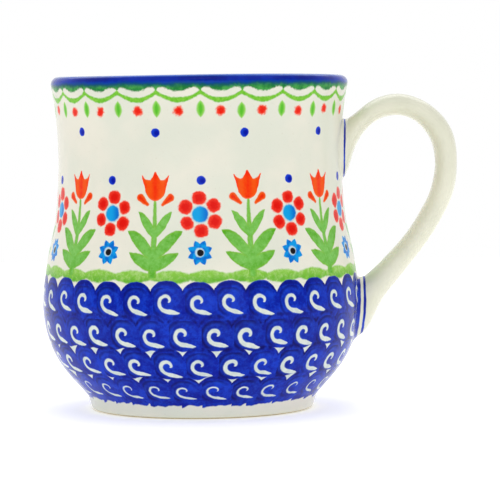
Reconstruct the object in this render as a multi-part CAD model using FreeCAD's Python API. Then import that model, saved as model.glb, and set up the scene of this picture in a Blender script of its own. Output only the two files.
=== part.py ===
import FreeCAD, Part
import math
import os
from FreeCAD import Vector

# Hand-decorated stoneware mug: a barrel-bellied cup with a flared neck, a fully
# rounded lip and a turned foot ring, and a pulled loop handle that is luted on
# with two pads of slip.
#
# Frame: millimetres, +Z up, origin on the vessel's axis at the plane the foot
# ring stands on, handle towards +X, loop lying in the XZ plane.

# ---------------------------------------------------------------- dimensions
HEIGHT = 100.0          # foot plane to the crown of the lip
LIP_R = 2.30            # radius of the fully rounded lip
LIP_CENTRE_R = 42.30    # radius of the circle the lip is rounded about
LIP_CENTRE_Z = HEIGHT - LIP_R

FOOT_FLAT_IN = 28.60    # inner edge of the flat ring the mug stands on
FOOT_FLAT_OUT = 31.90   # outer edge of that ring
FOOT_RECESS = 2.50      # depth of the hollow inside the foot ring
RECESS_R = 26.60        # radius of the flat underside inside the foot ring
FLOOR_Z = 7.60          # inside floor of the cup
FLOOR_FLAT_R = 18.00    # radius of the flat part of the inside floor

# Outer wall from the shoulder of the foot to the lip: (radius, height)
OUTER_WALL = [
    (34.62, 4.30), (37.00, 7.00), (39.72, 10.00), (43.35, 15.00),
    (45.76, 20.00), (47.31, 26.00), (47.85, 32.00), (47.12, 40.00),
    (45.70, 48.00), (43.98, 56.00), (43.07, 64.00), (42.63, 72.00),
    (42.71, 80.00), (43.22, 88.00), (43.99, 94.00), (44.60, LIP_CENTRE_Z),
]
# Inner wall from the lip down to the edge of the flat floor: (radius, height)
INNER_WALL = [
    (40.00, LIP_CENTRE_Z), (39.35, 93.00), (38.60, 87.00), (38.15, 80.00),
    (38.05, 72.00), (38.35, 64.00), (39.15, 56.00), (40.70, 48.00),
    (42.00, 40.00), (42.60, 32.00), (42.05, 25.00), (40.20, 19.00),
    (36.60, 13.80), (31.00, 10.20), (24.50, 8.20), (FLOOR_FLAT_R, FLOOR_Z),
]

SLIP_T = 1.30           # thickness of the slip pads the handle is luted with
SLIP_MARGIN = 1.10      # how far a pad shows round the handle's root

# Handle sections: outer edge (x, z), inner edge (x, z), width across
HANDLE = [
    ((39.60, 84.60), (39.60, 67.00), 18.60),
    ((43.30, 86.20), (43.30, 69.20), 17.60),
    ((45.40, 87.30), (46.00, 76.20), 15.80),
    ((48.10, 89.40), (49.40, 82.60), 14.20),
    ((51.60, 92.00), (53.20, 86.00), 13.40),
    ((55.60, 93.60), (56.20, 87.20), 13.00),
    ((59.60, 94.10), (59.30, 87.60), 12.80),
    ((64.20, 93.30), (62.80, 86.90), 12.80),
    ((68.60, 91.20), (65.70, 85.20), 12.80),
    ((72.30, 88.20), (67.90, 82.80), 12.80),
    ((75.30, 84.20), (69.60, 79.90), 12.80),
    ((76.90, 79.60), (70.50, 76.80), 12.80),
    ((77.40, 74.00), (70.85, 73.00), 12.80),
    ((77.00, 67.80), (70.40, 68.90), 12.80),
    ((75.40, 62.00), (69.00, 63.90), 12.80),
    ((72.60, 56.40), (66.60, 59.20), 12.80),
    ((69.20, 50.80), (63.50, 54.10), 12.80),
    ((65.20, 45.40), (59.90, 49.50), 12.90),
    ((61.10, 40.20), (56.00, 45.30), 13.00),
    ((57.60, 36.00), (52.30, 41.70), 13.30),
    ((54.70, 32.20), (49.60, 39.40), 14.20),
    ((52.30, 27.60), (47.80, 38.30), 15.80),
    ((49.40, 22.80), (45.20, 37.70), 17.60),
    ((45.40, 20.00), (41.60, 37.20), 18.60),
]


def P(r, z):
    return Vector(r, 0.0, z)


def spline(points, t0=None, t1=None):
    curve = Part.BSplineCurve()
    pts = [P(r, z) for r, z in points]
    if t0 is None:
        curve.interpolate(pts)
    else:
        curve.interpolate(Points=pts, InitialTangent=t0, FinalTangent=t1)
    return curve.toShape()


def turned(edges):
    """Solid of revolution about Z from a closed profile in the XZ plane."""
    face = Part.Face(Part.Wire(Part.__sortEdges__(edges)))
    return face.revolve(Vector(0, 0, 0), Vector(0, 0, 1), 360.0)


def line(a, b):
    return Part.LineSegment(P(*a), P(*b)).toShape()


def arc(a, m, b):
    return Part.Arc(P(*a), P(*m), P(*b)).toShape()


# ------------------------------------------------------------ the thrown body
K = math.sqrt(0.5)
outer = spline(OUTER_WALL)
inner = spline(INNER_WALL)
lip_out = arc(OUTER_WALL[-1],
              (LIP_CENTRE_R + LIP_R * K, LIP_CENTRE_Z + LIP_R * K),
              (LIP_CENTRE_R, HEIGHT))
lip_in = arc((LIP_CENTRE_R, HEIGHT),
             (LIP_CENTRE_R - LIP_R * K, LIP_CENTRE_Z + LIP_R * K),
             INNER_WALL[0])
foot_round = arc((FOOT_FLAT_OUT, 0.0), (33.12, 0.42), (33.66, 1.50))
foot_band = line((33.66, 1.50), OUTER_WALL[0])
foot_inner = arc((FOOT_FLAT_IN, 0.0), (27.70, 0.55), (27.30, 1.50))
foot_cove = line((27.30, 1.50), (RECESS_R, FOOT_RECESS))
profile = [
    line((0.0, FOOT_RECESS), (RECESS_R, FOOT_RECESS)),
    foot_cove,
    foot_inner,
    line((FOOT_FLAT_IN, 0.0), (FOOT_FLAT_OUT, 0.0)),
    foot_round,
    foot_band,
    outer,
    lip_out,
    lip_in,
    inner,
    line(INNER_WALL[-1], (0.0, FLOOR_Z)),
    line((0.0, FLOOR_Z), (0.0, FOOT_RECESS)),
]
mug_body = turned(profile)

# ------------------------------------ solids that trim the handle and the pads
# The outside of the wall, filled, and the same moved out by the slip's
# thickness: the pads live between the two.
WALL_LOW, WALL_HIGH = OUTER_WALL[0][1], OUTER_WALL[-1][1]
filled = turned([
    line((0.0, WALL_LOW), OUTER_WALL[0]),
    outer,
    line(OUTER_WALL[-1], (0.0, WALL_HIGH)),
    line((0.0, WALL_HIGH), (0.0, WALL_LOW)),
])


def moved_out(points, d):
    out = []
    for i, (r, z) in enumerate(points):
        a = points[max(i - 1, 0)]
        b = points[min(i + 1, len(points) - 1)]
        tr, tz = b[0] - a[0], b[1] - a[1]
        n = math.hypot(tr, tz)
        out.append((r + d * tz / n, z - d * tr / n))
    return out


wide = moved_out(OUTER_WALL, SLIP_T)
slip_zone_full = turned([
    line((0.0, wide[0][1]), wide[0]),
    spline(wide),
    line(wide[-1], (0.0, wide[-1][1])),
    line((0.0, wide[-1][1]), (0.0, wide[0][1])),
])
slip_zone = slip_zone_full.cut(filled)


# ----------------------------------------------------------- the pulled handle
def half_section(outer_pt, inner_pt, width, grow=0.0, n=10):
    """Half of a rounded, slightly squared oval, in the plane through the two
    edge points and across Y: from the outer edge over +Y to the inner edge."""
    a = Vector(outer_pt[0], 0, outer_pt[1])
    b = Vector(inner_pt[0], 0, inner_pt[1])
    c = (a + b) * 0.5
    u = a - b
    half = u.Length * 0.5 + grow
    u.normalize()
    half_w = width * 0.5 + grow
    pts = []
    for k in range(n + 1):
        t = math.pi * k / n
        pu = math.copysign(abs(math.cos(t)) ** 0.88, math.cos(t)) * half
        pv = 0.0 if k in (0, n) else math.sin(t) ** 0.88 * half_w
        pts.append(c + u * pu + Vector(0, 1, 0) * pv)
    return pts


def flat_cap(faces, outer_pt, inner_pt):
    """Planar end face from the side faces' edges that lie in a section plane."""
    a = Vector(outer_pt[0], 0, outer_pt[1])
    b = Vector(inner_pt[0], 0, inner_pt[1])
    normal = (a - b).cross(Vector(0, 1, 0))
    normal.normalize()
    edges = []
    for f in faces:
        for e in f.Edges:
            t0, t1 = e.FirstParameter, e.LastParameter
            if max(abs((e.valueAt(t) - a).dot(normal))
                   for t in (t0, 0.5 * (t0 + t1), t1)) < 1e-4:
                edges.append(e)
    return Part.Face(Part.Wire(Part.__sortEdges__(edges)))


def lofted(rows, grow=0.0):
    """Solid through a run of oval sections, mirrored about the XZ plane."""
    surface = Part.BSplineSurface()
    surface.interpolate([half_section(o, i, w, grow) for o, i, w in rows])
    near = surface.toShape()
    far = near.mirror(Vector(0, 0, 0), Vector(0, 1, 0))
    shell = Part.Shell([near, far,
                        flat_cap((near, far), rows[0][0], rows[0][1]),
                        flat_cap((near, far), rows[-1][0], rows[-1][1])])
    shell.sewShape()
    solid = Part.Solid(shell)
    if solid.Volume < 0:
        solid.reverse()
    return solid


loop = lofted(HANDLE)
handle = loop.cut(slip_zone_full)

upper_slip_joint = lofted(HANDLE[:4], SLIP_MARGIN).common(slip_zone)
lower_slip_joint = lofted(HANDLE[-4:], SLIP_MARGIN).common(slip_zone)


def biggest(shape):
    """The one solid that matters after a cut, healed."""
    solids = sorted(shape.Solids, key=lambda s: -s.Volume)
    return solids[0]


nodes = {
    "mug_body": biggest(mug_body),
    "handle": None,
    "upper_slip_joint": biggest(upper_slip_joint),
    "lower_slip_joint": biggest(lower_slip_joint),
}
# the loop outside the slip surface is the piece whose middle is far out
nodes["handle"] = max(handle.Solids, key=lambda s: s.BoundBox.XMax * 1000 + s.Volume)

os.makedirs("parts", exist_ok=True)
for name, shape in nodes.items():
    bb = shape.BoundBox
    print("%-18s valid=%s vol=%.1f mm3  x %.2f..%.2f  y %.2f..%.2f  z %.2f..%.2f" % (
        name, shape.isValid(), shape.Volume, bb.XMin, bb.XMax, bb.YMin, bb.YMax,
        bb.ZMin, bb.ZMax))
    shape.exportStep("parts/%s.step" % name)
names = list(nodes)
for i in range(len(names)):
    for j in range(i + 1, len(names)):
        c = nodes[names[i]].common(nodes[names[j]])
        d = nodes[names[i]].distToShape(nodes[names[j]])[0]
        print("%s / %s: shared %.4f mm3, gap %.4f mm" % (names[i], names[j], c.Volume, d))
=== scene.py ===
import bpy
import math
import numpy as np
from mathutils import Matrix, Vector


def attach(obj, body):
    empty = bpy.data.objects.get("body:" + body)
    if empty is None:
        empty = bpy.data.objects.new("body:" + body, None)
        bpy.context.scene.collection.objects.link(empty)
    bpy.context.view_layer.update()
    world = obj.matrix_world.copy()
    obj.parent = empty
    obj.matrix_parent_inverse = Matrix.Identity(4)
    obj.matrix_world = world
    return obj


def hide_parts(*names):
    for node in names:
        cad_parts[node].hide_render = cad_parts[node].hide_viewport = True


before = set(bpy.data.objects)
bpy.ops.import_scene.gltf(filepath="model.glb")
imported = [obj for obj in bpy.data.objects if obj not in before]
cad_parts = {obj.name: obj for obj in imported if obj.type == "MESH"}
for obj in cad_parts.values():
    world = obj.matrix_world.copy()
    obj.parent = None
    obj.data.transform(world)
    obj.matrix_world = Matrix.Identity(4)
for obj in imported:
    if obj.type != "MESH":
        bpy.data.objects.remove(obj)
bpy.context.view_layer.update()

MM = 0.001

# ------------------------------------------------------------------ camera
cam_data = bpy.data.cameras.new("camera")
cam_data.lens = 198.3
cam_data.sensor_width = 36.0
cam_data.clip_start = 0.05
cam_data.clip_end = 20.0
cam = bpy.data.objects.new("camera", cam_data)
bpy.context.scene.collection.objects.link(cam)
yaw, pitch, roll = 0.01778, 0.05506, -0.00932
fwd = Vector((math.sin(yaw) * math.cos(pitch), math.cos(yaw) * math.cos(pitch), -math.sin(pitch)))
side = Vector((math.cos(yaw), -math.sin(yaw), 0.0))
up = side.cross(fwd)
right = side * math.cos(roll) + up * math.sin(roll)
up = -side * math.sin(roll) + up * math.cos(roll)
cam.matrix_world = Matrix((
    (right.x, up.x, -fwd.x, 0.0),
    (right.y, up.y, -fwd.y, -0.830),
    (right.z, up.z, -fwd.z, 0.09311),
    (0.0, 0.0, 0.0, 1.0)))
bpy.context.scene.camera = cam

# ------------------------------------------------------------------ profile
HEIGHT = 100.0
LIP_R, LIP_C = 2.30, 42.30
LIP_Z = HEIGHT - LIP_R
OUTER = [(34.62, 4.30), (37.00, 7.00), (39.72, 10.00), (43.35, 15.00), (45.76, 20.00),
         (47.31, 26.00), (47.85, 32.00), (47.12, 40.00), (45.70, 48.00), (43.98, 56.00),
         (43.07, 64.00), (42.63, 72.00), (42.71, 80.00), (43.22, 88.00), (43.99, 94.00),
         (44.60, LIP_Z)]
INNER = [(40.00, LIP_Z), (39.35, 93.00), (38.60, 87.00), (38.15, 80.00), (38.05, 72.00),
         (38.35, 64.00), (39.15, 56.00), (40.70, 48.00), (42.00, 40.00), (42.60, 32.00),
         (42.05, 25.00), (40.20, 19.00), (36.60, 13.80), (31.00, 10.20), (24.50, 8.20),
         (18.00, 7.60)]


def cubic(points, per_mm=1.0, extra=None):
    """Natural cubic through the points, by chord length, sampled evenly along its length."""
    p = np.array(points, float)
    t = np.concatenate([[0], np.cumsum(np.linalg.norm(np.diff(p, axis=0), axis=1))])
    n = len(t)
    h = np.diff(t)
    out = []
    a = np.zeros((n, n))
    a[0, 0] = a[-1, -1] = 1
    for i in range(1, n - 1):
        a[i, i - 1], a[i, i], a[i, i + 1] = h[i - 1], 2 * (h[i - 1] + h[i]), h[i]
    m = []
    for k in range(p.shape[1]):
        r = np.zeros(n)
        r[1:-1] = 6 * ((p[2:, k] - p[1:-1, k]) / h[1:] - (p[1:-1, k] - p[:-2, k]) / h[:-1])
        m.append(np.linalg.solve(a, r))
    m = np.array(m).T
    u = np.linspace(0, t[-1], max(2, int(round(t[-1] * per_mm)) + 1)) if extra is None else extra(t)
    i = np.clip(np.searchsorted(t, u, side="right") - 1, 0, n - 2)
    d = (u - t[i])[:, None]
    hi = h[i][:, None]
    return (m[i] * (hi - d) ** 3 / (6 * hi) + m[i + 1] * d ** 3 / (6 * hi)
            + (p[i] / hi - m[i] * hi / 6) * (hi - d) + (p[i + 1] / hi - m[i + 1] * hi / 6) * d)


OUT_FINE = cubic(OUTER, 8.0)


def wall_r(z):
    """Outside radius of the wall in mm at a height in mm."""
    return np.interp(z, OUT_FINE[:, 1], OUT_FINE[:, 0])


def handmade(theta, z):
    """Slow unevenness of a hand-finished wall, in mm: about a tenth of a millimetre."""
    return (0.070 * np.sin(2 * theta + 0.7 + z * 0.021)
            + 0.045 * np.sin(3 * theta + 2.1 - z * 0.034)
            + 0.025 * np.sin(5 * theta + z * 0.11))


# ------------------------------------------------------------------ mesh helpers
def new_mesh(name, verts, faces, smooth=True):
    me = bpy.data.meshes.new(name)
    me.from_pydata([tuple(v) for v in verts], [], faces)
    me.validate()
    me.update()
    ob = bpy.data.objects.new(name, me)
    bpy.context.scene.collection.objects.link(ob)
    me.polygons.foreach_set("use_smooth", [smooth] * len(me.polygons))
    return ob


# ------------------------------------------------------------------ shader helpers
class S:
    """One number in a node tree, with arithmetic."""

    def __init__(self, g, sock):
        self.g, self.s = g, sock

    def __add__(self, o): return self.g.m("ADD", self, o)
    __radd__ = __add__
    def __sub__(self, o): return self.g.m("SUBTRACT", self, o)
    def __rsub__(self, o): return self.g.m("SUBTRACT", o, self)
    def __mul__(self, o): return self.g.m("MULTIPLY", self, o)
    __rmul__ = __mul__
    def __truediv__(self, o): return self.g.m("DIVIDE", self, o)
    def __rtruediv__(self, o): return self.g.m("DIVIDE", o, self)
    def __neg__(self): return self.g.m("MULTIPLY", self, -1.0)


class Graph:
    def __init__(self, name):
        self.mat = bpy.data.materials.new(name)
        self.mat.use_nodes = True
        self.nt = self.mat.node_tree
        self.nt.nodes.clear()
        self.n = self.nt.nodes
        self.l = self.nt.links

    def put(self, sock, v):
        if isinstance(v, S):
            self.l.new(v.s, sock)
        elif isinstance(v, bpy.types.NodeSocket):
            self.l.new(v, sock)
        else:
            sock.default_value = v

    def m(self, op, *a, clamp=False):
        n = self.n.new("ShaderNodeMath")
        n.operation = op
        n.use_clamp = clamp
        for i, v in enumerate(a):
            self.put(n.inputs[i], v)
        return S(self, n.outputs[0])

    def mad(self, x, k, c): return self.m("MULTIPLY_ADD", x, k, c)
    def mx(self, *a):
        r = a[0]
        for b in a[1:]:
            r = self.m("MAXIMUM", r, b)
        return r
    def mn(self, *a):
        r = a[0]
        for b in a[1:]:
            r = self.m("MINIMUM", r, b)
        return r
    def ab(self, x): return self.m("ABSOLUTE", x)
    def fl(self, x): return self.m("FLOOR", x)
    def fr(self, x): return self.m("FRACT", x)
    def hyp(self, x, y): return self.m("SQRT", self.mad(x, x, y * y))

    def soft(self, d, e=0.16, lo=None):
        """0 outside, 1 inside, over 2e of distance."""
        n = self.n.new("ShaderNodeMapRange")
        n.interpolation_type = "SMOOTHSTEP"
        self.put(n.inputs["Value"], d)
        n.inputs["From Min"].default_value = -e if lo is None else lo
        n.inputs["From Max"].default_value = e
        return S(self, n.outputs["Result"])

    def curve(self, x, pts, smooth=True):
        """A function drawn through control points (x, y), held flat outside them."""
        xs = [p[0] for p in pts]
        ys = [p[1] for p in pts]
        x0, x1, y0, y1 = min(xs), max(xs), min(ys), max(ys)
        if y1 - y0 < 1e-9:
            y1 = y0 + 1.0
        t = self.mad(x, 1.0 / (x1 - x0), -x0 / (x1 - x0))
        n = self.n.new("ShaderNodeFloatCurve")
        mp = n.mapping
        mp.extend = "HORIZONTAL"
        c = mp.curves[0]
        norm = sorted(((a - x0) / (x1 - x0), (b - y0) / (y1 - y0)) for a, b in pts)
        c.points[0].location = norm[0]
        c.points[1].location = norm[-1]
        for q in norm[1:-1]:
            c.points.new(*q)
        for q in c.points:
            q.handle_type = "AUTO_CLAMPED" if smooth else "VECTOR"
        mp.update()
        self.l.new(t.s, n.inputs["Value"])
        return self.mad(S(self, n.outputs["Value"]), y1 - y0, y0)

    def by_index(self, idx, values):
        """One value for each whole number."""
        return self.curve(idx, [(float(i), v) for i, v in enumerate(values)], smooth=False)

    def between(self, x, y, upper, lower, smooth=True):
        """Signed height inside the band lower(x) < y < upper(x), shut at both ends."""
        a, b = upper[0], upper[-1]
        upper = [(a[0] - 0.3, a[1] - 1.6)] + upper + [(b[0] + 0.3, b[1] - 1.6)]
        a, b = lower[0], lower[-1]
        lower = [(a[0] - 0.3, a[1] + 1.6)] + lower + [(b[0] + 0.3, b[1] + 1.6)]
        u = self.curve(x, upper, smooth) - y
        v = y - self.curve(x, lower, smooth)
        return self.mn(u, v)

    def disc(self, x, y, cx, cy, r):
        return r - self.hyp(x - cx, y - cy)

    def drop(self, x, y, ax, ay, bx, by, ra, rb):
        """A stroke from a to b whose half-width goes from ra to rb."""
        dx, dy = bx - ax, by - ay
        l2 = dx * dx + dy * dy
        px, py = x - ax, y - ay
        h = self.m("MULTIPLY_ADD", px, dx / l2, py * (dy / l2), clamp=True)
        ex = self.mad(h, -dx, px)
        ey = self.mad(h, -dy, py)
        return self.mad(h, rb - ra, ra) - self.hyp(ex, ey)

    def noise(self, vec, scale, detail=2.0, rough=0.5, dims="3D", colour=False):
        n = self.n.new("ShaderNodeTexNoise")
        n.noise_dimensions = dims
        n.inputs["Scale"].default_value = scale
        n.inputs["Detail"].default_value = detail
        n.inputs["Roughness"].default_value = rough
        if dims == "1D":
            self.put(n.inputs["W"], vec)
        else:
            self.put(n.inputs["Vector"], vec)
        if colour:
            sp = self.n.new("ShaderNodeSeparateColor")
            self.l.new(n.outputs["Color"], sp.inputs[0])
            return [S(self, o) for o in sp.outputs]
        return S(self, n.outputs[0])

    def white(self, w, seed=0.0):
        """A fixed random number for each whole number."""
        n = self.n.new("ShaderNodeTexWhiteNoise")
        n.noise_dimensions = "1D"
        self.put(n.inputs["W"], self.m("ADD", w, seed + 0.371))
        return S(self, n.outputs["Value"])

    def mix(self, f, a, b):
        n = self.n.new("ShaderNodeMix")
        n.data_type = "RGBA"
        self.put(n.inputs[0], f)
        for i, v in ((6, a), (7, b)):
            if isinstance(v, bpy.types.NodeSocket):
                self.l.new(v, n.inputs[i])
            else:
                n.inputs[i].default_value = (*v, 1.0)
        return n.outputs[2]

    def coords(self):
        """Object coordinates in millimetres: x, y and z."""
        tc = self.n.new("ShaderNodeTexCoord")
        sp = self.n.new("ShaderNodeSeparateXYZ")
        vm = self.n.new("ShaderNodeVectorMath")
        vm.operation = "SCALE"
        vm.inputs["Scale"].default_value = 1000.0
        self.l.new(tc.outputs["Object"], vm.inputs[0])
        self.vec = vm.outputs[0]
        self.l.new(vm.outputs[0], sp.inputs[0])
        x, y, z = [S(self, o) for o in sp.outputs]
        return x, y, z


def lin(r, g, b):
    def f(c):
        c /= 255.0
        return c / 12.92 if c <= 0.04045 else ((c + 0.055) / 1.055) ** 2.4
    return (f(r), f(g), f(b))


CLAY = lin(235, 232, 219)      # the cream body under clear glaze
CLAY_COOL = lin(226, 228, 215)


def clay_colour(g, z):
    """Cream stoneware: slow warm and cool drift and a faint fine speckle."""
    a = g.noise(g.vec, 0.045, 3.0, 0.55)
    c = g.mix(g.soft(a - 0.5, 0.16), CLAY_COOL, CLAY)
    b = g.noise(g.vec, 1.7, 2.0, 0.6)
    return g.mix(g.soft(b - 0.71, 0.07) * 0.35, c, lin(206, 200, 178))


def finish_glaze(g, colour, bump=0.12, rough=0.10):
    """Clear glossy glaze with the faint ripple that a fired glaze has."""
    n = g.n
    r1 = g.noise(g.vec, 0.16, 2.0, 0.5)
    r2 = g.noise(g.vec, 0.55, 1.0, 0.5)
    h = g.mad(r2, 0.22, r1)
    bp = n.new("ShaderNodeBump")
    bp.inputs["Strength"].default_value = bump
    bp.inputs["Distance"].default_value = 0.0006
    g.l.new(h.s, bp.inputs["Height"])
    bs = n.new("ShaderNodeBsdfPrincipled")
    g.l.new(colour, bs.inputs["Base Color"])
    rr = g.noise(g.vec, 0.9, 2.0, 0.6)
    g.l.new(g.mad(rr, 0.10, rough - 0.03).s, bs.inputs["Roughness"])
    bs.inputs["IOR"].default_value = 1.5
    bs.inputs["Specular IOR Level"].default_value = 0.15
    g.l.new(bp.outputs[0], bs.inputs["Normal"])
    out = n.new("ShaderNodeOutputMaterial")
    g.l.new(bs.outputs[0], out.inputs[0])
    return g.mat


# ------------------------------------------------------------------ painted pattern
# A plain folk repeat: every ring is a row of one simple motif, evenly set round
# the wall, with the small seeded play in turn and height that a hand leaves.
import random


def ring_table(n, height, turn=0.0, jitter=0.6, hj=0.25, seed=1):
    """n stamps evenly round the wall from the angle turn (degrees, 0 in front)."""
    rnd = random.Random(seed)
    t = []
    for i in range(n):
        a = turn + 360.0 * i / n + rnd.uniform(-jitter, jitter)
        t.append((((a + 180.0) % 360.0) / 360.0, height + rnd.uniform(-hj, hj)))
    t.sort()
    return t


PLANTS = 10          # plants round the flower band
DROPS = 22           # swags under the rim
RINGS = {
    "lens": ring_table(DROPS, 90.0, 0.0, 0.4, 0.3, 2),
    "red": ring_table(DROPS, 89.8, 180.0 / DROPS, 0.5, 0.4, 3),
    "dot_up": ring_table(PLANTS, 83.6, 18.0, 1.2, 0.2, 4),
    "dot_low": ring_table(PLANTS, 69.6, 0.0, 1.2, 0.3, 5),
    "tulip": ring_table(PLANTS, 63.9, 18.0, 0.7, 0.3, 6),
    "flower": ring_table(PLANTS, 60.3, 0.0, 0.6, 0.3, 7),
    "star": ring_table(PLANTS, 48.9, 0.0, 0.7, 0.3, 8),
    "ground": ring_table(26, 42.3, 3.0, 1.2, 0.3, 13),
    "wave1": ring_table(32, 0.7, 0.0, 0.5, 0.3, 9),
    "wave2": ring_table(32, 0.7, 5.6, 0.5, 0.3, 10),
    "wave3": ring_table(30, 0.7, 0.0, 0.5, 0.3, 11),
    "wave4": ring_table(28, 0.7, 6.4, 0.6, 0.3, 12),
}
_turns = random.Random(14)
FLOWER_TURN = [_turns.uniform(-0.12, 0.12) for _ in range(PLANTS)]
# rows of waves, evenly stepped down the belly (mm along the wall)
WAVE_S = {1: 0.0, 2: -9.6, 3: -19.2, 4: -28.8}


def mirrored(half):
    """A line that is the same on both sides of its middle."""
    return [(-x, y) for x, y in reversed(half) if x > 0] + half


def arc_length_curve():
    """Length along the wall from 35.2 mm up, against height."""
    z = np.linspace(0.5, 47.5, 48)
    r = np.where(z < 4.3, 33.5 + 0.28 * z, wall_r(z))
    s = np.concatenate([[0], np.cumsum(np.hypot(np.diff(z), np.diff(r)))])
    s -= np.interp(35.2, z, s)
    return [(float(a), float(b)) for a, b in zip(z[::2], s[::2])] + [(47.5, float(s[-1]))]


class Paint(Graph):
    def start(self):
        x, y, z = self.coords()
        self.R = self.hyp(x, y)
        th = self.m("ARCTAN2", x, -y)
        self.tt = self.mad(th, 1 / (2 * math.pi), 0.5)
        self.z = z
        self.arc = self.R * (2 * math.pi)
        self.x, self.y = x, y

    def wobble(self, scale=0.55, size=0.30):
        """A small slow push on every drawn edge, so that nothing is ruled."""
        a, b, c = self.noise(self.vec, scale, 2.0, 0.55, colour=True)
        self.wx = self.mad(a, size * 2, -size)
        self.wy = self.mad(b, size * 2, -size)
        self.tone = c

    def ring(self, name, shift_mm=0.0, want_index=False):
        """(dx, dy0[, index]): mm round the wall from the nearest stamp, and that stamp's height."""
        t = RINGS[name]
        n = len(t)
        dev = [i - n * a for i, (a, h) in enumerate(t)]
        ks = [(a, d) for (a, h), d in zip(t, dev)]
        # The knots wrap round the seam at the back.
        ks = [(ks[-1][0] - 1.0, ks[-1][1])] + ks + [(ks[0][0] + 1.0, ks[0][1])]
        span = [(k, v) for k, v in ks]

        def at(x):
            return float(np.interp(x, [k for k, v in span], [v for k, v in span]))
        dpts = [(0.0, at(0.0))] + [(k, v) for k, v in span if 0.002 < k < 0.998] + [(1.0, at(1.0))]
        tt = self.tt if shift_mm == 0.0 else self.tt + shift_mm / (2 * math.pi * 46.0)
        d = self.curve(tt, dpts, smooth=False)
        i = self.fl(self.mad(tt, float(n), 0.5) + d)
        # i runs from -1 to n (-1 is n - 1 and n is 0); the stamp's angle and height by index
        fi = i * (1.0 / n)
        ang = [(-1.0 / n, t[-1][0] - 1.0 + 1.0 / n)]
        ang += [(j / n, t[j][0] - j / n) for j in range(n)] + [(1.0, t[0][0])]
        hgt = [(-1.0 / n, t[-1][1])] + [(j / n, t[j][1]) for j in range(n)] + [(1.0, t[0][1])]
        da = self.curve(fi, ang, smooth=False)
        dx = (tt - (fi + da)) * self.arc
        hh = self.curve(fi, hgt, smooth=False)
        if want_index:
            # index n and index 0 are one stamp, and so are -1 and n - 1
            idx = self.m("MODULO", i + float(n), float(n))
            return dx, hh, idx
        return dx, hh


def rim_material():
    g = Paint("painted_glaze_rim")
    g.start()
    g.wobble(0.42, 0.42)
    base = clay_colour(g, g.z)
    fine = g.noise(g.vec, 1.3, 3.0, 0.6)
    # green drops under the peaks of the swags
    lx, lz = g.ring("lens")
    ly = g.z - lz + g.wy * 0.4
    lxx = g.mad(g.wx, 0.4, lx)
    d = (1.0 - g.ab(lxx) * (1 / 1.22)) - g.m("POWER", g.ab(ly) * (1 / 2.4), 2.3)
    core = g.soft(d - 0.45, 0.40)
    col = g.mix(g.soft(d + (fine - 0.5) * 0.2, 0.24), base, g.mix(core, lin(156, 214, 104), lin(98, 194, 52)))
    # red dabs between
    rx, rz = g.ring("red")
    d = g.disc(g.mad(g.wx, 1.3, rx), (g.z - rz) + g.wy * 1.3, 0, 0, 1.40) + (fine - 0.5) * 1.3
    col = g.mix(g.soft(d, 0.40), col, g.mix(g.soft(d - 0.45, 0.4), lin(244, 96, 70), lin(236, 34, 10)))
    # place along one swag: 0 under the peak, 6.4 at the middle of the hollow
    ax = g.ab(g.mad(g.wx, 0.8, lx))
    ax = ax * g.m("DIVIDE", 6.4, ax + g.ab(rx))
    yy = g.mad(g.wy, 0.5, g.z) - 90.0
    cen = g.curve(ax, [(0, 5.1), (1.6, 4.1), (3.2, 3.4), (4.8, 2.95), (6.4, 2.8)])
    hw = g.curve(ax, [(0, 0.75), (1.6, 0.55), (3.2, 0.60), (4.8, 0.70), (6.4, 0.75)])
    d = hw - g.ab(yy - cen)
    swag = g.mix(g.soft(fine - 0.5, 0.25), lin(146, 208, 76), lin(104, 190, 44))
    col = g.mix(g.soft(d + (fine - 0.5) * 0.5, 0.26), col, swag)
    # sponged lumps hanging from the band
    low = g.curve(ax, [(0, 5.5), (1.6, 6.5), (3.2, 6.1), (4.8, 5.5), (6.4, 5.3)])
    d = yy - low
    lump = g.mix(g.soft(g.tone - 0.5, 0.14), lin(74, 166, 80), lin(26, 126, 60))
    lump = g.mix(g.soft(95.9 - g.z, 0.9) * g.soft(1.6 - ax, 0.9), lump, lin(98, 184, 62))
    col = g.mix(g.soft(d + (fine - 0.5) * 1.1, 0.34), col, lump)
    # cobalt band: runs over the lip and a few millimetres inside, bleeding into the green
    haze = g.noise(g.vec, 0.16, 2.0, 0.5)
    edge = g.mad(haze, 1.5, 96.25)
    zi = g.m("SUBTRACT", g.z, g.mad(fine, 0.9, -0.45))
    teal = g.soft(zi - edge, 0.8)
    col = g.mix(teal, col, lin(14, 84, 112))
    blue = g.soft(zi - (edge + 0.75), 0.65)
    deep = g.mix(g.soft(g.noise(g.vec, 0.11, 3.0, 0.6) - 0.5, 0.22), lin(4, 52, 180), lin(0, 26, 140))
    deep = g.mix(g.soft(98.15 - zi, 0.7), deep, lin(8, 74, 184))
    col = g.mix(blue, col, deep)
    # inside the lip
    inside = g.soft(42.2 - g.R, 0.25)
    edge_in = g.mad(g.noise(g.vec, 0.22, 3.0, 0.6), 2.2, 94.1)
    col_in = g.mix(g.soft(g.z - edge_in, 0.45), base, deep)
    col = g.mix(inside, col, col_in)
    # painted highlight: lighter cobalt over the crown of the lip, standing in for the light caught there
    painted_crown_highlight = g.soft(g.z - 99.58, 0.30) * 0.5
    col = g.mix(painted_crown_highlight, col, lin(84, 140, 224))
    return finish_glaze(g, col)


# tulip: a three-pointed cup, the same on both sides
TULIP_TOP = mirrored([(0.0, 8.5), (0.5, 7.8), (1.2, 6.7), (1.9, 6.1), (2.7, 6.3), (3.5, 6.9), (4.2, 7.5)])
TULIP_LOW = mirrored([(0.0, 0.2), (1.2, 0.5), (2.2, 1.3), (2.9, 2.6), (3.3, 4.2), (3.7, 5.8), (4.2, 7.4)])
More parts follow.
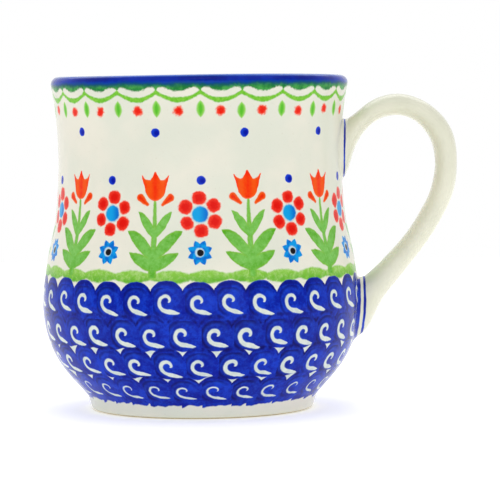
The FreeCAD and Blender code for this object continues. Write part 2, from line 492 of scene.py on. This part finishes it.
# three pairs of plain leaves on one stem, by distance from the stem
LEAF_PAIRS = [
    ([(0, -14.4), (1.6, -11.9), (3.3, -10.0), (5.1, -8.8), (6.8, -8.3), (8.2, -8.4)],
     [(0, -17.6), (1.6, -16.3), (3.3, -14.9), (5.1, -13.2), (6.8, -11.1), (8.2, -8.7)]),
    ([(0, -8.0), (1.2, -5.9), (2.5, -4.3), (3.8, -3.3), (5.0, -2.9)],
     [(0, -10.8), (1.2, -9.8), (2.5, -8.4), (3.8, -6.4), (5.0, -3.2)]),
    ([(0, -16.4), (2.0, -15.5), (4.0, -14.9), (6.0, -14.6), (7.4, -14.6)],
     [(0, -20.2), (2.0, -19.6), (4.0, -18.6), (6.0, -17.0), (7.4, -14.9)]),
]


def wave_body(g, s, ring_no, shift=0.85):
    """Signed height under one row's scalloped top edge."""
    dx, off = g.ring("wave%d" % ring_no, shift_mm=shift)
    e = g.m("POWER", g.m("MINIMUM", g.ab(g.mad(g.wx, 0.7, dx)) * (1 / 5.2), 1.3), 2.7)
    return (off + (WAVE_S[ring_no] + 5.25)) - g.mad(e, 3.6, s), dx


def blue_tone(g, dark):
    """Cobalt laid on by stamp and brush: streaked, darker where it overlaps."""
    a = g.noise(g.vec, 0.26, 3.0, 0.6)
    b = g.noise(g.vec, 1.2, 2.0, 0.7)
    f = g.soft(g.mad(b, 0.55, a) - 0.77, 0.20)
    c = g.mix(f, lin(18, 64, 198), lin(3, 30, 158))
    return g.mix(dark, c, lin(0, 6, 108))


def floral_material():
    g = Paint("painted_glaze_flowers")
    g.start()
    g.wobble(0.60, 0.26)
    col = clay_colour(g, g.z)
    fine = g.noise(g.vec, 1.4, 3.0, 0.65)
    grain = fine - 0.5
    zz = g.z + g.wy
    # cobalt dots, two rings in one pass: the ring is chosen by height
    ux, uz = g.ring("dot_up")
    lx, lz = g.ring("dot_low")
    pick = g.m("GREATER_THAN", g.z, 77.0)
    dx = lx + (ux - lx) * pick
    dz = zz - (lz + (uz - lz) * pick)
    d = g.disc(g.mad(g.wx, 1.0, dx), dz, 0, 0, 1.30)
    inner = g.soft(g.disc(dx, dz, 0.35, -0.1, 0.8), 0.5)
    col = g.mix(g.soft(d, 0.15), col, g.mix(inner, lin(20, 66, 206), lin(0, 24, 168)))
    # sponged ground line
    bx, bz = g.ring("ground")
    up = zz - bz
    hh = g.curve(g.ab(bx), [(0, 1.92), (1.8, 1.76), (3.2, 1.5), (4.3, 1.2), (5.2, 0.98), (5.9, 0.9)])
    d = (hh - g.ab(up)) + grain * 0.5
    cellular = g.noise(g.vec, 0.85, 3.0, 0.7)
    deep_low = g.soft(-0.1 - up, 1.5) * g.soft(g.tone - 0.42, 0.2)
    gc = g.mix(g.soft(cellular - 0.55, 0.16), lin(142, 200, 78), lin(180, 216, 134))
    gc = g.mix(deep_low * 0.8, gc, lin(92, 172, 40))
    col = g.mix(g.soft(d, 0.36), col, gc)
    # one stamp: tulip, stems, leaves
    tx0, tz = g.ring("tulip")
    tx = tx0 + g.wx
    ty = zz - tz
    out = g.ab(tx)
    shade = g.curve(out, [(0, 0.15), (2, 0.15), (4, 0.35), (6, 0.55), (8.4, 0.95)])
    foot = g.soft(-17.6 - ty, 1.6) * 0.5
    gf = g.m("ADD", g.mx(shade, foot), (g.tone - 0.5) * 1.9, clamp=True)
    green = g.mix(gf, lin(130, 197, 96), lin(90, 172, 34))
    green = g.mix(g.soft(grain - 0.08, 0.12) * 0.35, green, lin(160, 210, 128))
    # stem
    wid = g.curve(ty, [(-21.9, -0.3), (-21.5, 1.25), (-19.5, 1.2), (-14, 0.95), (-8, 0.72), (-3, 0.55), (-0.6, 0.42), (0.2, 0.3), (0.6, -0.3)])
    d = wid - out
    # leaves
    for up_line, low_line in LEAF_PAIRS:
        d = g.mx(d, g.between(out, ty, up_line, low_line))
    green = g.mix(g.soft(0.42 - d, 0.40) * 0.55, green, lin(138, 190, 52))
    col = g.mix(g.soft(d + grain * 0.22, 0.22), col, green)
    # sepals
    d = g.drop(out, ty, 4.5, 1.1, 2.3, -0.9, 1.12, 0.45)
    col = g.mix(g.soft(d, 0.2), col, g.mix(g.soft(d - 0.5 + grain, 0.45), lin(241, 102, 20), lin(238, 46, 2)))
    # tulip
    d = g.between(tx, ty, TULIP_TOP, TULIP_LOW)
    f = g.curve(out, [(0, 0.75), (0.9, 0.45), (2.0, 0.2), (3.0, 0.5), (4.3, 0.85)])
    streak = g.noise(g.vec, 0.9, 3.0, 0.7)
    f = g.m("ADD", g.mx(f, g.soft(ty - 6.0, 1.6) * 0.8), (streak - 0.5) * 0.9, clamp=True)
    tc = g.mix(f, lin(245, 102, 18), lin(243, 20, 0))
    tc = g.mix(g.soft(0.42 - d, 0.3) * 0.35, tc, lin(248, 136, 78))
    col = g.mix(g.soft(d, 0.17), col, tc)
    # six-petalled flower
    fx, fz, fi = g.ring("flower", want_index=True)
    px = fx + g.wx * 0.9
    py = zz - fz
    turn = g.by_index(fi, FLOWER_TURN)
    ang = g.m("ARCTAN2", py, px)
    ph = g.mad(ang + turn, 6 / (2 * math.pi), 6.5)
    k = g.fl(ph + 0.5)
    a = (ph - k) * (2 * math.pi / 6)
    rr = g.hyp(px, py)
    qx = rr * g.m("COSINE", a)
    qy = rr * g.m("SINE", a)
    kk = g.white(g.mad(fi, 6.0, k), 1.0)
    # each petal: a rounded dab, a little squarer than a disc
    ex = g.m("POWER", g.ab(qx - g.mad(kk, 0.32, 4.48)) * 1.06, 2.4)
    ey = g.m("POWER", g.ab(qy), 2.4)
    rad = g.m("POWER", ex + ey, 1 / 2.4)
    d = g.mad(kk, 0.28, 1.90) - rad
    pc = g.mix(g.soft(d - 0.72 + grain * 1.6, 0.7), lin(240, 66, 46), lin(226, 20, 6))
    col = g.mix(g.soft(d + grain * 0.7, 0.30), col, pc)
    d = 2.32 - rr + grain * 0.5
    col = g.mix(g.soft(d + 0.3, 0.4) * 0.4, col, lin(132, 196, 224))
    col = g.mix(g.soft(d, 0.26), col, g.mix(g.soft(g.mad(px, 0.35, -0.25), 0.5), lin(16, 166, 228), lin(2, 120, 210)))
    # eight-pointed star
    sx, sz = g.ring("star")
    px = sx + g.wx * 0.5
    py = g.z - sz + g.wy * 0.5
    rr = g.hyp(px, py)
    ang = g.m("ARCTAN2", py, px)
    w = g.m("PINGPONG", g.mad(ang, 8 / (2 * math.pi), 8.5), 0.5)
    d = g.mad(w, -2.2, 3.7) - rr
    col = g.mix(g.soft(d, 0.17), col, g.mix(g.soft(g.tone - 0.5, 0.12), lin(12, 160, 230), lin(0, 116, 210)))
    d = 1.34 - g.hyp(px + 0.12, py - 0.12) + grain * 0.5
    col = g.mix(g.soft(d, 0.24), col, lin(198, 218, 224))
    d = 0.95 - g.hyp(px - 0.08, py + 0.0)
    col = g.mix(g.soft(d, 0.13), col, lin(26, 26, 34))
    # tops of the first row of waves
    s = g.curve(zz, arc_length_curve(), smooth=False)
    d, dx = wave_body(g, s, 1)
    dark = g.soft(0.55 - g.ab(d - 0.75), 0.5) * 0.55
    col = g.mix(g.soft(d, 0.17), col, blue_tone(g, dark))
    return finish_glaze(g, col)


def wave_material():
    g = Paint("painted_glaze_waves")
    g.start()
    g.wobble(0.55, 0.24)
    white = g.mix(g.soft(g.tone - 0.5, 0.2), lin(222, 228, 220), lin(206, 216, 212))
    zz = g.z + g.wy
    s = g.curve(zz, arc_length_curve(), smooth=False)
    # scalloped top edges of the four rows of stamps; a darker line just inside each
    body1, dx1 = wave_body(g, s, 1)
    body2, dx2 = wave_body(g, s, 2)
    body3, dx3 = wave_body(g, s, 3)
    body4, dx4 = wave_body(g, s, 4)
    near = g.mn(g.ab(body1 - 0.55), g.ab(body2 - 0.45), g.ab(body3 - 0.45), g.ab(body4 - 0.45))
    arc = g.soft(0.55 - near, 0.5) * g.soft(g.tone - 0.46, 0.2)
    # breaks between the rows where the clay shows
    n1 = g.noise(g.mad(g.tt, 44.0, 9.0), 1.0, 1.0, 0.5, dims="1D")
    n2 = g.noise(g.mad(g.tt, 40.0, 60.0), 1.0, 1.0, 0.5, dims="1D")
    gap = g.mn(-body3 - 0.12, g.mad(n1, 2.0, WAVE_S[3] + 3.9) - s, s - (WAVE_S[3] + 1.1))
    gap4 = g.mn(-body4 - 0.12, g.mad(n2, 2.4, WAVE_S[4] + 3.9) - s, s - (WAVE_S[4] + 1.1))
    top = g.mn(-body1, s - 0.5)
    gap = g.mx(gap, gap4)
    # the stamp each point belongs to
    x1, o1, i1 = g.ring("wave1", want_index=True)
    x2, o2, i2 = g.ring("wave2", want_index=True)
    m = g.m("GREATER_THAN", s, WAVE_S[1] - 5.3)
    X = x2 + (x1 - x2) * m
    Y = o2 + (o1 - o2) * m + g.mad(m, -WAVE_S[2], WAVE_S[2])
    I = i2 + (i1 - i2 + 40.0) * m
    x3, o3, i3 = g.ring("wave3", want_index=True)
    m = g.m("GREATER_THAN", s, WAVE_S[2] - 5.3)
    X = x3 + (X - x3) * m
    o3 = o3 + WAVE_S[3]
    Y = o3 + (Y - o3) * m
    I = i3 + (I - i3 + 90.0) * m
    x4, o4, i4 = g.ring("wave4", want_index=True)
    m4 = g.m("GREATER_THAN", s, WAVE_S[3] - 5.3)
    X = x4 + (X - x4) * m4
    o4 = o4 + WAVE_S[4]
    Y = o4 + (Y - o4) * m4
    I = i4 + (I - i4 + 190.0) * m4
    r1 = g.white(I, 0.0)
    r2 = g.white(I, 50.0)
    r3 = g.white(I, 90.0)
    grow = g.mad(r1, 0.11, 0.98)
    X = (X + g.wx * 0.7) * grow
    Y = (s - Y) * grow
    Y = Y + (X + 0.8) * g.mad(r2, 0.16, -0.08)
    cx, cy = X + 0.8, Y + 0.8
    rho = g.hyp(cx, cy)
    t = g.fr(g.mad(g.m("ARCTAN2", cy, cx), 1 / (2 * math.pi), 40.0 / 360.0 + 1.0))

    def polar(pts):
        return g.curve(t, [((a + 40.0) / 360.0, v) for a, v in pts])
    # strokes of the stamp in the cobalt itself: a dark hoop round the curl
    hoop = g.soft(0.50 - g.ab(rho - 4.35), 0.5) * g.soft(-cx + cy * 0.5 + 1.0, 2.0)
    hoop2 = g.soft(0.35 - g.ab(rho - 3.0), 0.4) * g.soft(-cx - cy * 0.4, 2.0) * 0.45
    shade = g.mx(arc * 0.9, hoop * 0.8, hoop2) + (r3 - 0.5) * 0.42
    shade = g.m("ADD", shade, 0.0, clamp=True)
    col = blue_tone(g, shade)
    pale = g.soft(0.6 - g.ab(rho - 3.65), 0.6) * g.soft(cy, 2.0) * 0.28
    col = g.mix(pale * g.soft(g.tone - 0.5, 0.3), col, lin(44, 98, 222))
    col = g.mix(g.soft(gap, 0.17), col, white)
    base = clay_colour(g, g.z)
    col = g.mix(g.soft(top, 0.17), col, base)
    # the curl: one spiral stroke that opens out into its tail (angle, middle, half-width)
    turn = [(-40, 0.40, -0.40), (-25, 0.50, -0.05), (-10, 0.64, 0.22), (20, 0.96, 0.40), (50, 1.26, 0.46),
            (80, 1.52, 0.50), (110, 1.74, 0.52), (140, 1.93, 0.52), (170, 2.08, 0.52), (200, 2.22, 0.53),
            (230, 2.38, 0.55), (255, 2.56, 0.60), (275, 2.80, 0.68), (290, 3.12, 0.78), (300, 3.48, 0.84),
            (308, 3.95, 0.82), (314, 4.45, 0.60), (318, 4.90, 0.25), (320, 5.20, -0.10)]
    ro = polar([(a, c + w) for a, c, w in turn])
    ri = polar([(a, c - w) for a, c, w in turn])
    thick = g.mad(r3, 0.12, -0.04) - (1.0 - m4) * 0.24
    d = g.mn(ro - rho, rho - ri)
    d = d + thick
    halo = g.soft(d + 0.22, 0.22) * 0.30
    col = g.mix(halo, col, lin(90, 140, 222))
    col = g.mix(g.soft(d, 0.16), col, white)
    # lower edge of the cobalt, ragged, above the foot
    n3 = g.noise(g.mad(g.tt, 46.0, 20.0), 1.0, 2.0, 0.6, dims="1D")
    saw = g.fr(g.mad(g.tt, 30.0, 0.3) + n2 * 1.5)
    edge = g.mad(n3, 1.3, 2.75) + saw * 0.8 + g.mn(g.ab(g.tt - 0.5), 0.2) * 3.0
    col = g.mix(g.soft(edge - zz, 0.20), col, base)
    return finish_glaze(g, col)


def handle_material(name, warm):
    g = Paint(name)
    g.start()
    g.wobble(0.5, 0.2)
    a = g.noise(g.vec, 0.06, 3.0, 0.55)
    col = g.mix(g.soft(a - 0.5, 0.15), lin(226, 226, 208), lin(232, 231, 214))
    b = g.noise(g.vec, 1.7, 2.0, 0.6)
    col = g.mix(g.soft(b - 0.71, 0.07) * 0.35, col, lin(200, 193, 168))
    zc = np.linspace(4.3, 97.7, 24)
    wall = g.curve(g.z, [(float(a), float(wall_r(a))) for a in zc], smooth=False)
    low = g.m("LESS_THAN", g.z, 55.0)
    across = g.x + (g.R - g.x) * low
    d = across - wall + g.wx * 0.6
    n = g.noise(g.vec, 0.16, 2.0, 0.5)
    # near the wall the glaze and clay are the cup's own
    col = g.mix(g.soft(1.1 - d, 0.9) * (1.0 - low), col, clay_colour(g, g.z))
    # the brushed cobalt line round each root
    line = (g.mad(n, 0.25, 0.13) + low * 0.09) - g.ab(d - (0.42 + low * 1.38))
    tone = g.mix(g.soft(n - 0.5, 0.15), lin(30, 72, 196), lin(10, 34, 158))
    col = g.mix(g.soft(line, 0.13), col, tone)
    skirt = g.mn(0.62 - d, 38.6 - g.z)
    col = g.mix(g.soft(skirt, 0.15), col, tone)
    return finish_glaze(g, col)



def plain_glaze():
    g = Graph("clear_glaze_cream")
    x, y, z = g.coords()
    return finish_glaze(g, clay_colour(g, z))


def bare_clay():
    g = Graph("bare_fired_clay")
    x, y, z = g.coords()
    a = g.noise(g.vec, 0.35, 4.0, 0.6)
    b = g.noise(g.vec, 4.0, 3.0, 0.7)
    c = g.mix(a, lin(176, 164, 132), lin(206, 196, 168))
    c = g.mix(g.soft(b - 0.62, 0.06) * 0.6, c, lin(128, 112, 84))
    n = g.n
    bp = n.new("ShaderNodeBump")
    bp.inputs["Strength"].default_value = 0.5
    bp.inputs["Distance"].default_value = 0.0002
    g.l.new(b.s, bp.inputs["Height"])
    bs = n.new("ShaderNodeBsdfPrincipled")
    g.l.new(c, bs.inputs["Base Color"])
    g.l.new(g.mad(a, 0.2, 0.68).s, bs.inputs["Roughness"])
    g.l.new(bp.outputs[0], bs.inputs["Normal"])
    out = n.new("ShaderNodeOutputMaterial")
    g.l.new(bs.outputs[0], out.inputs[0])
    return g.mat


# ------------------------------------------------------------------ the cup
SEG = 288


def arc_pts(cx, cz, r, a0, a1, n):
    return [(cx + r * math.cos(math.radians(a)), cz + r * math.sin(math.radians(a)))
            for a in np.linspace(a0, a1, n)]


Z_FOOT_TOP, Z_WAVE_TOP, Z_FLORAL_TOP = 1.5, 39.0, 86.3


def build_cup(mats):
    outer = cubic(OUTER, 1.0).tolist()
    inner = cubic(INNER, 0.9).tolist()
    prof = []                      # (r, z, hand): hand = share of the wall's unevenness
    prof += [(r, 2.5, 0.0) for r in (4.0, 9.0, 14.0, 19.0, 23.0, 25.5)]
    prof += [(26.35, 2.44, 0.0), (26.85, 2.1, 0.0), (27.20, 1.62, 0.0), (27.42, 1.0, 0.0),
             (27.85, 0.38, 0.0), (28.60, 0.0, 0.0), (29.70, 0.0, 0.0), (30.80, 0.0, 0.0),
             (31.90, 0.0, 0.0), (32.55, 0.12, 0.0), (33.12, 0.42, 0.0), (33.48, 0.90, 0.0),
             (33.66, 1.50, 0.2), (33.82, 2.00, 0.3), (34.02, 2.60, 0.5), (34.22, 3.20, 0.8),
             (34.42, 3.80, 0.9)]
    bare_from, bare_to = 26.9, 33.2
    prof += [(r, z, 1.0) for r, z in outer]
    prof[-1] = (prof[-1][0], prof[-1][1], 0.8)
    prof += [(r, z, 0.4) for r, z in arc_pts(LIP_C, LIP_Z, LIP_R, 12, 168, 14)]
    prof += [(r, z, 0.0) for r, z in inner]
    prof += [(r, 7.6, 0.0) for r in (15.0, 11.0, 7.0, 3.5)]
    verts = [(0.0, 0.0, 2.5 * MM)]
    th = np.linspace(0, 2 * math.pi, SEG, endpoint=False)
    for r, z, hand in prof:
        rr = r + hand * handmade(th, z)
        zz = z + (0.10 * np.sin(th * 2 + 1.0) + 0.06 * np.sin(th * 3)) * max(0.0, (z - 90) / 10) * (1 if z > 90 else 0)
        for k in range(SEG):
            verts.append((rr[k] * math.sin(th[k]) * MM, -rr[k] * math.cos(th[k]) * MM,
                          min(float(zz[k] if hasattr(zz, '__len__') else zz), 100.25) * MM))
    verts.append((0.0, 0.0, 7.6 * MM))
    faces, slots = [], []
    n = len(prof)

    def ring(i, k): return 1 + i * SEG + (k % SEG)
    for k in range(SEG):
        faces.append((0, ring(0, k + 1), ring(0, k)))
        slots.append(0)
    i_lip = next(i for i in range(n) if prof[i][1] > 98.5)
    for i in range(n - 1):
        (r0, z0, _), (r1, z1, _) = prof[i], prof[i + 1]
        zm, rm = (z0 + z1) / 2, (r0 + r1) / 2
        if i < i_lip and rm < bare_to and zm < 2.45 and rm > bare_from:
            s = 1
        elif i < i_lip and zm < 4.0 and rm < 34.7:
            s = 4 if rm > 30 else 0
        elif i < i_lip and zm < Z_WAVE_TOP:
            s = 4
        elif i < i_lip and zm < Z_FLORAL_TOP:
            s = 3
        elif zm > 90.0 or i < i_lip:
            s = 2
        else:
            s = 0
        for k in range(SEG):
            faces.append((ring(i, k), ring(i, k + 1), ring(i + 1, k + 1), ring(i + 1, k)))
            slots.append(s)
    last = 1 + n * SEG
    for k in range(SEG):
        faces.append((last, ring(n - 1, k), ring(n - 1, k + 1)))
        slots.append(0)
    ob = new_mesh("painted_cup", verts, faces)
    for m in mats:
        ob.data.materials.append(m)
    ob.data.polygons.foreach_set("material_index", slots)
    return ob


# ------------------------------------------------------------------ the handle
RAILS = [  # outer edge, inner edge, width
    (39.60, 84.60, 39.60, 67.00, 18.60), (43.30, 86.20, 43.30, 69.20, 17.60),
    (45.40, 87.30, 46.00, 76.20, 15.80), (48.10, 89.40, 49.40, 82.60, 14.20),
    (51.60, 92.00, 53.20, 86.00, 13.40), (55.60, 93.60, 56.20, 87.20, 13.00),
    (59.60, 94.10, 59.30, 87.60, 12.80), (64.20, 93.30, 62.80, 86.90, 12.80),
    (68.60, 91.20, 65.70, 85.20, 12.80), (72.30, 88.20, 67.90, 82.80, 12.80),
    (75.30, 84.20, 69.60, 79.90, 12.80), (76.90, 79.60, 70.50, 76.80, 12.80),
    (77.40, 74.00, 70.85, 73.00, 12.80), (77.00, 67.80, 70.40, 68.90, 12.80),
    (75.40, 62.00, 69.00, 63.90, 12.80), (72.60, 56.40, 66.60, 59.20, 12.80),
    (69.20, 50.80, 63.50, 54.10, 12.80), (65.20, 45.40, 59.90, 49.50, 12.90),
    (61.10, 40.20, 56.00, 45.30, 13.00), (57.60, 36.00, 52.30, 41.70, 13.30),
    (54.70, 32.20, 49.60, 39.40, 14.20), (52.30, 27.60, 47.80, 38.30, 15.80),
    (49.40, 22.80, 45.20, 37.70, 17.60), (45.40, 20.00, 41.60, 37.20, 18.60)]
AROUND = 72


def handle_rings(n=260):
    p = cubic(RAILS, 1.0, extra=lambda t: np.linspace(0, t[-1], n))
    rings = []
    for row in p:
        a = np.array([row[0], 0, row[1]])
        b = np.array([row[2], 0, row[3]])
        c, u = (a + b) / 2, a - b
        half = np.linalg.norm(u) / 2
        u = u / np.linalg.norm(u)
        t = np.linspace(0, 2 * math.pi, AROUND, endpoint=False)
        cu, sv = np.cos(t), np.sin(t)
        pu = np.sign(cu) * np.abs(cu) ** 0.90 * half
        pv = np.sign(sv) * np.abs(sv) ** 0.90 * row[4] / 2
        rings.append(c + np.outer(pu, u) + np.outer(pv, [0, 1, 0]))
    return np.array(rings)


def outside(p):
    """Distance of points (mm) outside the wall's surface, measured along the radius."""
    r = np.hypot(p[..., 0], p[..., 1])
    th = np.arctan2(p[..., 0], -p[..., 1])
    return r - wall_r(p[..., 2]) - handmade(th, p[..., 2])


def build_handle(mat):
    """The loop, its two ends sitting on the slip a hair outside the wall."""
    R = handle_rings()
    d = outside(R)
    n, m = d.shape
    keep = 0.25                    # the ends stop this far outside the wall
    lines = []
    for k in range(m):
        s = d[:, k]
        i0 = next(i for i in range(n) if s[i] > keep)
        i1 = next(i for i in range(n - 1, -1, -1) if s[i] > keep)
        f0 = (keep - s[i0 - 1]) / (s[i0] - s[i0 - 1])
        f1 = (keep - s[i1 + 1]) / (s[i1] - s[i1 + 1])
        a, b = i0 - 1 + f0, i1 + 1 - f1
        lines.append((a, b))
    # Every line round the loop gets the same number of points between its two ends.
    q = 190
    w = np.linspace(0, 1, q)
    verts = np.zeros((q, m, 3))
    idx = np.arange(n)
    for k, (a, b) in enumerate(lines):
        u = a + (b - a) * w
        for c in range(3):
            verts[:, k, c] = np.interp(u, idx, R[:, k, c])
    ends = []
    for e in (0, q - 1):
        ring = verts[e]
        ctr = ring.mean(0)
        caps = []
        for f in (0.66, 0.33):
            cap = ctr + (ring - ctr) * f
            r = np.hypot(cap[:, 0], cap[:, 1])
            th = np.arctan2(cap[:, 0], -cap[:, 1])
            want = wall_r(cap[:, 2]) + handmade(th, cap[:, 2]) + keep
            cap[:, 0] *= want / r
            cap[:, 1] *= want / r
            caps.append(cap)
        r = math.hypot(ctr[0], ctr[1])
        want = float(wall_r(ctr[2])) + float(handmade(math.atan2(ctr[0], -ctr[1]), ctr[2])) + keep
        ctr = ctr * np.array([want / r, want / r, 1])
        ends.append((caps, ctr))
    vs = [ends[0][1]]
    (c0, _), (c1, _) = ends
    layers = [c0[1], c0[0]] + [verts[i] for i in range(q)] + [c1[0], c1[1]]
    for lay in layers:
        vs.extend(lay)
    vs.append(ends[1][1])
    vs = np.array(vs) * MM
    L = len(layers)
    faces = []

    def rg(i, k): return 1 + i * m + (k % m)
    for k in range(m):
        faces.append((0, rg(0, k), rg(0, k + 1)))
        faces.append((1 + L * m, rg(L - 1, k + 1), rg(L - 1, k)))
    for i in range(L - 1):
        for k in range(m):
            faces.append((rg(i, k), rg(i + 1, k), rg(i + 1, k + 1), rg(i, k + 1)))
    ob = new_mesh("loop_handle", vs, faces)
    ob.data.materials.append(mat)
    return ob, verts, lines


def build_fillet(name, verts, end, mat, reach, rise):
    """The smoothed slip round one root: a closed ring, concave between handle and wall."""
    q, m, _ = verts.shape
    order = (lambda j: j) if end == 0 else (lambda j: q - 1 - j)
    root = verts[order(0)]
    ctr = root.mean(0)
    # up the handle by `rise` mm along each line
    tops = np.zeros((m, 3))
    for k in range(m):
        acc, j = 0.0, 0
        want = rise[k] if hasattr(rise, "__len__") else rise
        while acc < want and j < q - 2:
            step = np.linalg.norm(verts[order(j + 1), k] - verts[order(j), k])
            if acc + step >= want:
                f = (want - acc) / step
                tops[k] = verts[order(j), k] * (1 - f) + verts[order(j + 1), k] * f
                break
            acc += step
            j += 1
        else:
            tops[k] = verts[order(j), k]
    # out along the wall by `reach` mm
    def on_wall(p, lift=0.0):
        r = np.hypot(p[:, 0], p[:, 1])
        th = np.arctan2(p[:, 0], -p[:, 1])
        want = wall_r(p[:, 2]) + handmade(th, p[:, 2]) + lift
        o = p.copy()
        o[:, 0] *= want / r
        o[:, 1] *= want / r
        return o
    rootw = on_wall(root)
    away = rootw - ctr
    away[:, 0] = 0
    away /= np.linalg.norm(away, axis=1)[:, None]
    feet = on_wall(rootw + away * reach, 0.0)
    sunk_f = on_wall(rootw + away * reach * 0.9, -0.35)
    inner = on_wall(rootw - away * 0.9, -0.35)
    # inside the handle, under its skin, closing the ring
    hub = root + (ctr - root) / np.linalg.norm(ctr - root, axis=1)[:, None] * 0.9
    hub_top = tops + (ctr + (tops - root) - tops) * 0.0
    nrm = tops - (tops.mean(0))
    nrm /= np.linalg.norm(nrm, axis=1)[:, None]
    hub_top = tops - nrm * 0.45
    prof = []
    for t in np.linspace(0, 1, 9):
        # quadratic through the root corner, pulled most of the way in
        c = rootw * 0.80 + (tops + feet) * 0.10
        p = (1 - t) ** 2 * tops + 2 * t * (1 - t) * c + t ** 2 * feet
        prof.append(p)
    layers = [hub_top] + prof + [sunk_f, inner, hub]
    vs, faces = [], []
    for lay in layers:
        vs.extend(lay)
    L = len(layers)
    flip = end == 0
    for i in range(L):
        for k in range(m):
            a, b = i * m + k, i * m + (k + 1) % m
            c, d = ((i + 1) % L) * m + (k + 1) % m, ((i + 1) % L) * m + k
            faces.append((a, b, c, d) if flip else (d, c, b, a))
    ob = new_mesh(name, np.array(vs) * MM, faces)
    ob.data.materials.append(mat)
    return ob


def fix_normals(ob):
    import bmesh
    bm = bmesh.new()
    bm.from_mesh(ob.data)
    bmesh.ops.recalc_face_normals(bm, faces=bm.faces)
    bm.to_mesh(ob.data)
    bm.free()


cream = plain_glaze()
clay = bare_clay()
rim_mat = rim_material()
floral_mat = floral_material()
wave_mat = wave_material()
handle_mat = handle_material("painted_glaze_handle", 1.0)
root_mat = handle_material("painted_glaze_roots", 0.9)

cup = build_cup([cream, clay, rim_mat, floral_mat, wave_mat])
handle, HV, HL = build_handle(handle_mat)
fillet_up = build_fillet("slip_fillet_upper", HV, 0, root_mat, 0.9, 1.6)
fillet_lo = build_fillet("slip_fillet_lower", HV, 1, root_mat, 1.5, 2.2)
for o in (cup, handle, fillet_up, fillet_lo):
    fix_normals(o)

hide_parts("mug_body")
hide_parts("handle")
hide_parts("upper_slip_joint")
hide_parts("lower_slip_joint")
for o, slot in ((cup, "glazed_stoneware_body"), (handle, "glazed_stoneware_handle"),
                (fillet_up, "slip_joint"), (fillet_lo, "slip_joint")):
    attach(o, "root")

# ------------------------------------------------------------------ floor and light
floor_mat = bpy.data.materials.new("studio_floor")
floor_mat.use_nodes = True
fb = floor_mat.node_tree.nodes["Principled BSDF"]
fb.inputs["Base Color"].default_value = (0.92, 0.92, 0.92, 1)
fb.inputs["Emission Color"].default_value = (1.0, 0.99, 0.93, 1)
fb.inputs["Emission Strength"].default_value = 0.36
fb.inputs["Roughness"].default_value = 0.8
fb.inputs["Specular IOR Level"].default_value = 0.0
fv = [(-0.9, -0.40, -0.00002), (0.9, -0.40, -0.00002), (0.9, 0.75, -0.00002), (-0.9, 0.75, -0.00002)]
floor = new_mesh("studio_floor", fv, [(0, 1, 2, 3)])
floor.data.materials.append(floor_mat)

# White all round behind, dim on the front side, so the glaze stays clear and deep.
world = bpy.data.worlds.new("studio")
bpy.context.scene.world = world
world.use_nodes = True
wn = world.node_tree
bg = wn.nodes["Background"]
bg.inputs[0].default_value = (1.0, 1.0, 1.0, 1.0)
tc = wn.nodes.new("ShaderNodeTexCoord")
sp = wn.nodes.new("ShaderNodeSeparateXYZ")
wn.links.new(tc.outputs["Generated"], sp.inputs[0])
rp = wn.nodes.new("ShaderNodeValToRGB")
mp = wn.nodes.new("ShaderNodeMath")
mp.operation = "MULTIPLY_ADD"
mp.inputs[1].default_value = 0.5
mp.inputs[2].default_value = 0.5
wn.links.new(sp.outputs["Y"], mp.inputs[0])
wn.links.new(mp.outputs[0], rp.inputs[0])
cr = rp.color_ramp
cr.interpolation = "EASE"
cr.elements[0].position = 0.0
cr.elements[0].color = (0.54, 0.54, 0.54, 1)
cr.elements[1].position = 1.0
cr.elements[1].color = (1.0, 1.0, 1.0, 1)
for p, v in ((0.16, 0.55), (0.42, 0.54), (0.62, 0.82)):
    e = cr.elements.new(p)
    e.color = (v, v, v, 1)
lp = wn.nodes.new("ShaderNodeLightPath")
mx = wn.nodes.new("ShaderNodeMath")
mx.operation = "MAXIMUM"
wn.links.new(rp.outputs[0], mx.inputs[0])
wn.links.new(lp.outputs["Is Camera Ray"], mx.inputs[1])
wn.links.new(mx.outputs[0], bg.inputs[1])


def area(name, loc, target, size, radiance):
    """A soft box: its power is set from how bright its face is."""
    d = bpy.data.lights.new(name, "AREA")
    d.shape = "RECTANGLE"
    d.size, d.size_y = size
    d.energy = radiance * math.pi * size[0] * size[1]
    o = bpy.data.objects.new(name, d)
    bpy.context.scene.collection.objects.link(o)
    o.location = loc
    v = Vector(target) - Vector(loc)
    o.rotation_euler = v.to_track_quat("-Z", "Y").to_euler()
    return o


area("soft_key_left", (-0.62, -0.72, 1.55), (0, 0, 0.05), (1.8, 1.4), 0.62)
area("soft_key_right", (0.66, -0.70, 1.50), (0, 0, 0.05), (1.7, 1.4), 0.64)
area("low_fill", (0.0, -1.25, 0.22), (0, 0, 0.03), (1.6, 0.5), 0.80)
area("soft_back", (0.0, 1.3, 1.5), (0, 0, 0.05), (2.0, 1.2), 1.2)

bpy.context.scene.view_settings.gamma = 0.90
bpy.context.scene.view_settings.view_transform = "Standard"
bpy.context.scene.view_settings.look = "None"
